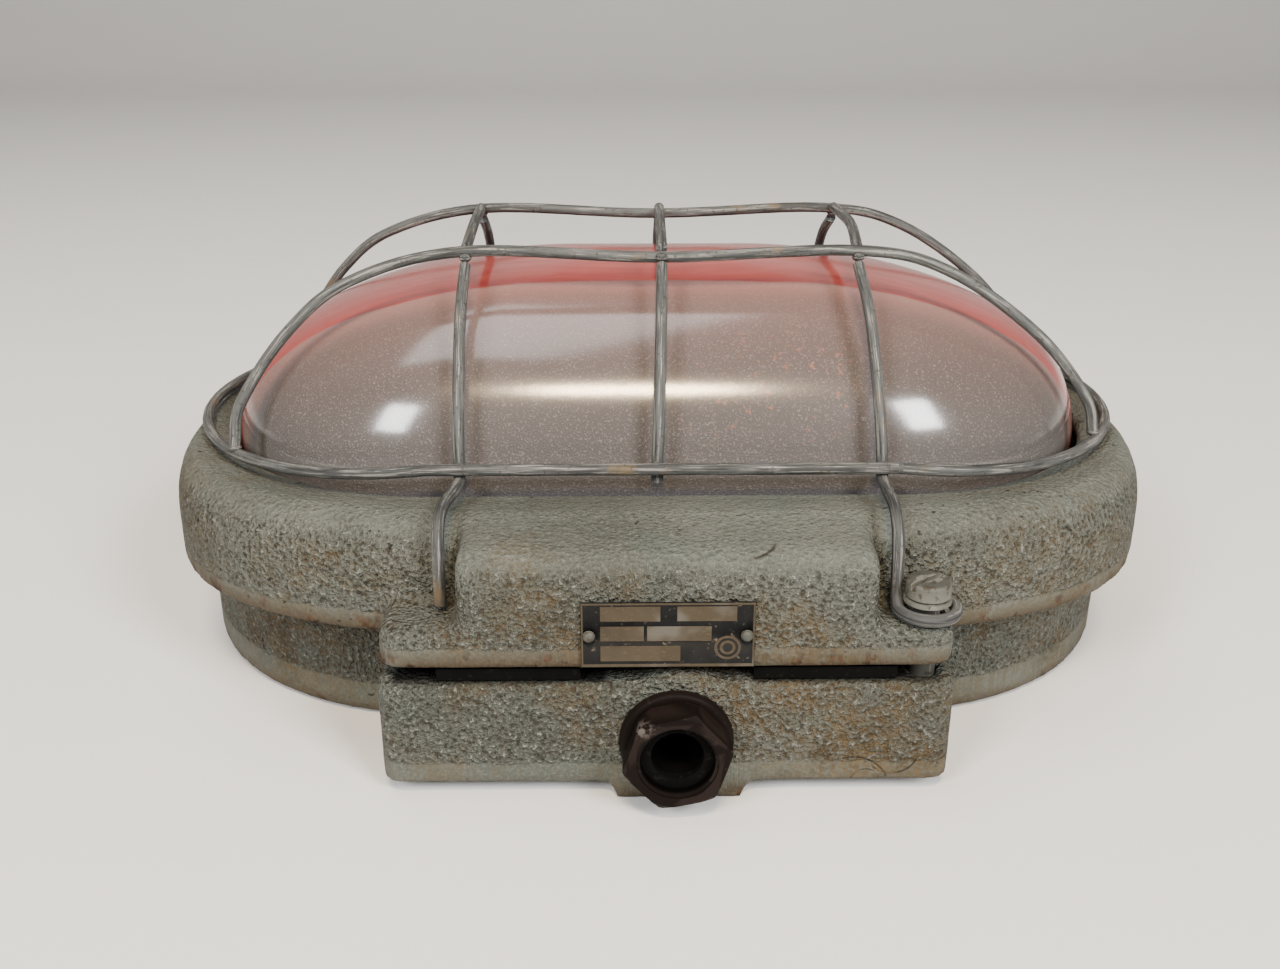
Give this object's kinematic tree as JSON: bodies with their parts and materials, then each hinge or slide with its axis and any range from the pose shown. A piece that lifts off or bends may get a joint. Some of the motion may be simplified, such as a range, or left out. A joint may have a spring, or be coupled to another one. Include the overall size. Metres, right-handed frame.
{
  "type": "oval bulkhead light",
  "caption": "Oval industrial bulkhead light: cast housing, frosted glass dome with red paint, hooked wire guard, slotted cover screws and a cable gland.",
  "frame": {"origin": "middle of the flat mounting face under the base casting", "axes": "+X along the light's length, -Y towards the cable gland and nameplate, +Z out of the wall, the way the dome faces"},
  "size_m": [0.2624, 0.2252, 0.1145],
  "materials": {
    "cast_paint": "worn grey-green paint over rough casting, brown stains and rust along the edges",
    "frosted_glass": "frosted grey glass, red paint worn off the front half",
    "guard_wire": "worn grey painted galvanised wire",
    "steel": "dull zinc",
    "brass": "dull brass",
    "rubber": "matt black",
    "gland_plastic": "satin brown-black bakelite",
    "porcelain": "glazed off-white",
    "plate": "black with thin brass border and blank fields",
    "bulb_glass": "opal",
    "lead_dark": "satin black insulation",
    "lead_red": "satin red insulation"
  },
  "bodies": {
    "housing": {"base_casting": "cast_paint", "housing_gasket": "rubber", "lug_pad_front_left": "rubber", "lug_pad_front_right": "rubber", "lug_pad_rear_left": "rubber", "lug_pad_rear_right": "rubber", "lampholder_body": "porcelain", "lampholder_shell": "brass", "lampholder_contact": "brass", "lampholder_bracket": "steel", "lampholder_screw_left": "steel", "lampholder_screw_right": "steel", "bracket_screw_left": "steel", "bracket_screw_right": "steel", "terminal_block": "porcelain", "terminal_screw_left": "brass", "terminal_screw_right": "brass", "earth_screw": "brass", "lead_outer": "lead_dark", "lead_inner": "lead_red", "gland_body": "gland_plastic", "gland_seal": "rubber"},
    "cover": {"cover_casting": "cast_paint", "glass_dome": "frosted_glass", "glass_gasket": "rubber", "nameplate": "plate", "plate_rivet_left": "steel", "plate_rivet_right": "steel"},
    "guard": {"guard_ring": "guard_wire", "guard_long_wire_front": "guard_wire", "guard_long_wire_rear": "guard_wire", "guard_bridge_left": "guard_wire", "guard_bridge_middle": "guard_wire", "guard_bridge_right": "guard_wire", "guard_upright_front_left": "guard_wire", "guard_upright_front_middle": "guard_wire", "guard_upright_front_right": "guard_wire", "guard_upright_rear_left": "guard_wire", "guard_upright_rear_middle": "guard_wire", "guard_upright_rear_right": "guard_wire"},
    "front_screw": {"cover_screw_front": "steel", "cover_screw_front_washer": "steel"},
    "rear_screw": {"cover_screw_rear": "steel", "cover_screw_rear_washer": "steel"},
    "gland_nut_body": {"gland_nut": "gland_plastic"},
    "bulb": {"bulb_cap": "brass", "bulb_glass": "bulb_glass"}
  },
  "joints": [
    {"name": "cover_lift", "type": "slide", "parent": "housing", "child": "cover", "axis": [0, 0, 1], "range_m": [0, 0.08]},
    {"name": "guard_lift", "type": "slide", "parent": "cover", "child": "guard", "axis": [0, 0, 1], "range_m": [0, 0.06]},
    {"name": "front_screw_turn", "type": "hinge", "parent": "guard", "child": "front_screw", "pos_m": [0.0588, -0.0992, 0.05], "axis": [0, 0, 1], "continuous": true},
    {"name": "rear_screw_turn", "type": "hinge", "parent": "guard", "child": "rear_screw", "pos_m": [-0.0588, 0.0992, 0.05], "axis": [0, 0, 1], "continuous": true},
    {"name": "gland_nut_turn", "type": "hinge", "parent": "housing", "child": "gland_nut_body", "pos_m": [0.0021, -0.114, 0.0164], "axis": [0, -1, 0], "continuous": true},
    {"name": "bulb_turn", "type": "hinge", "parent": "housing", "child": "bulb", "pos_m": [-0.08, 0, 0.05], "axis": [1, 0, 0], "continuous": true}
  ]
}
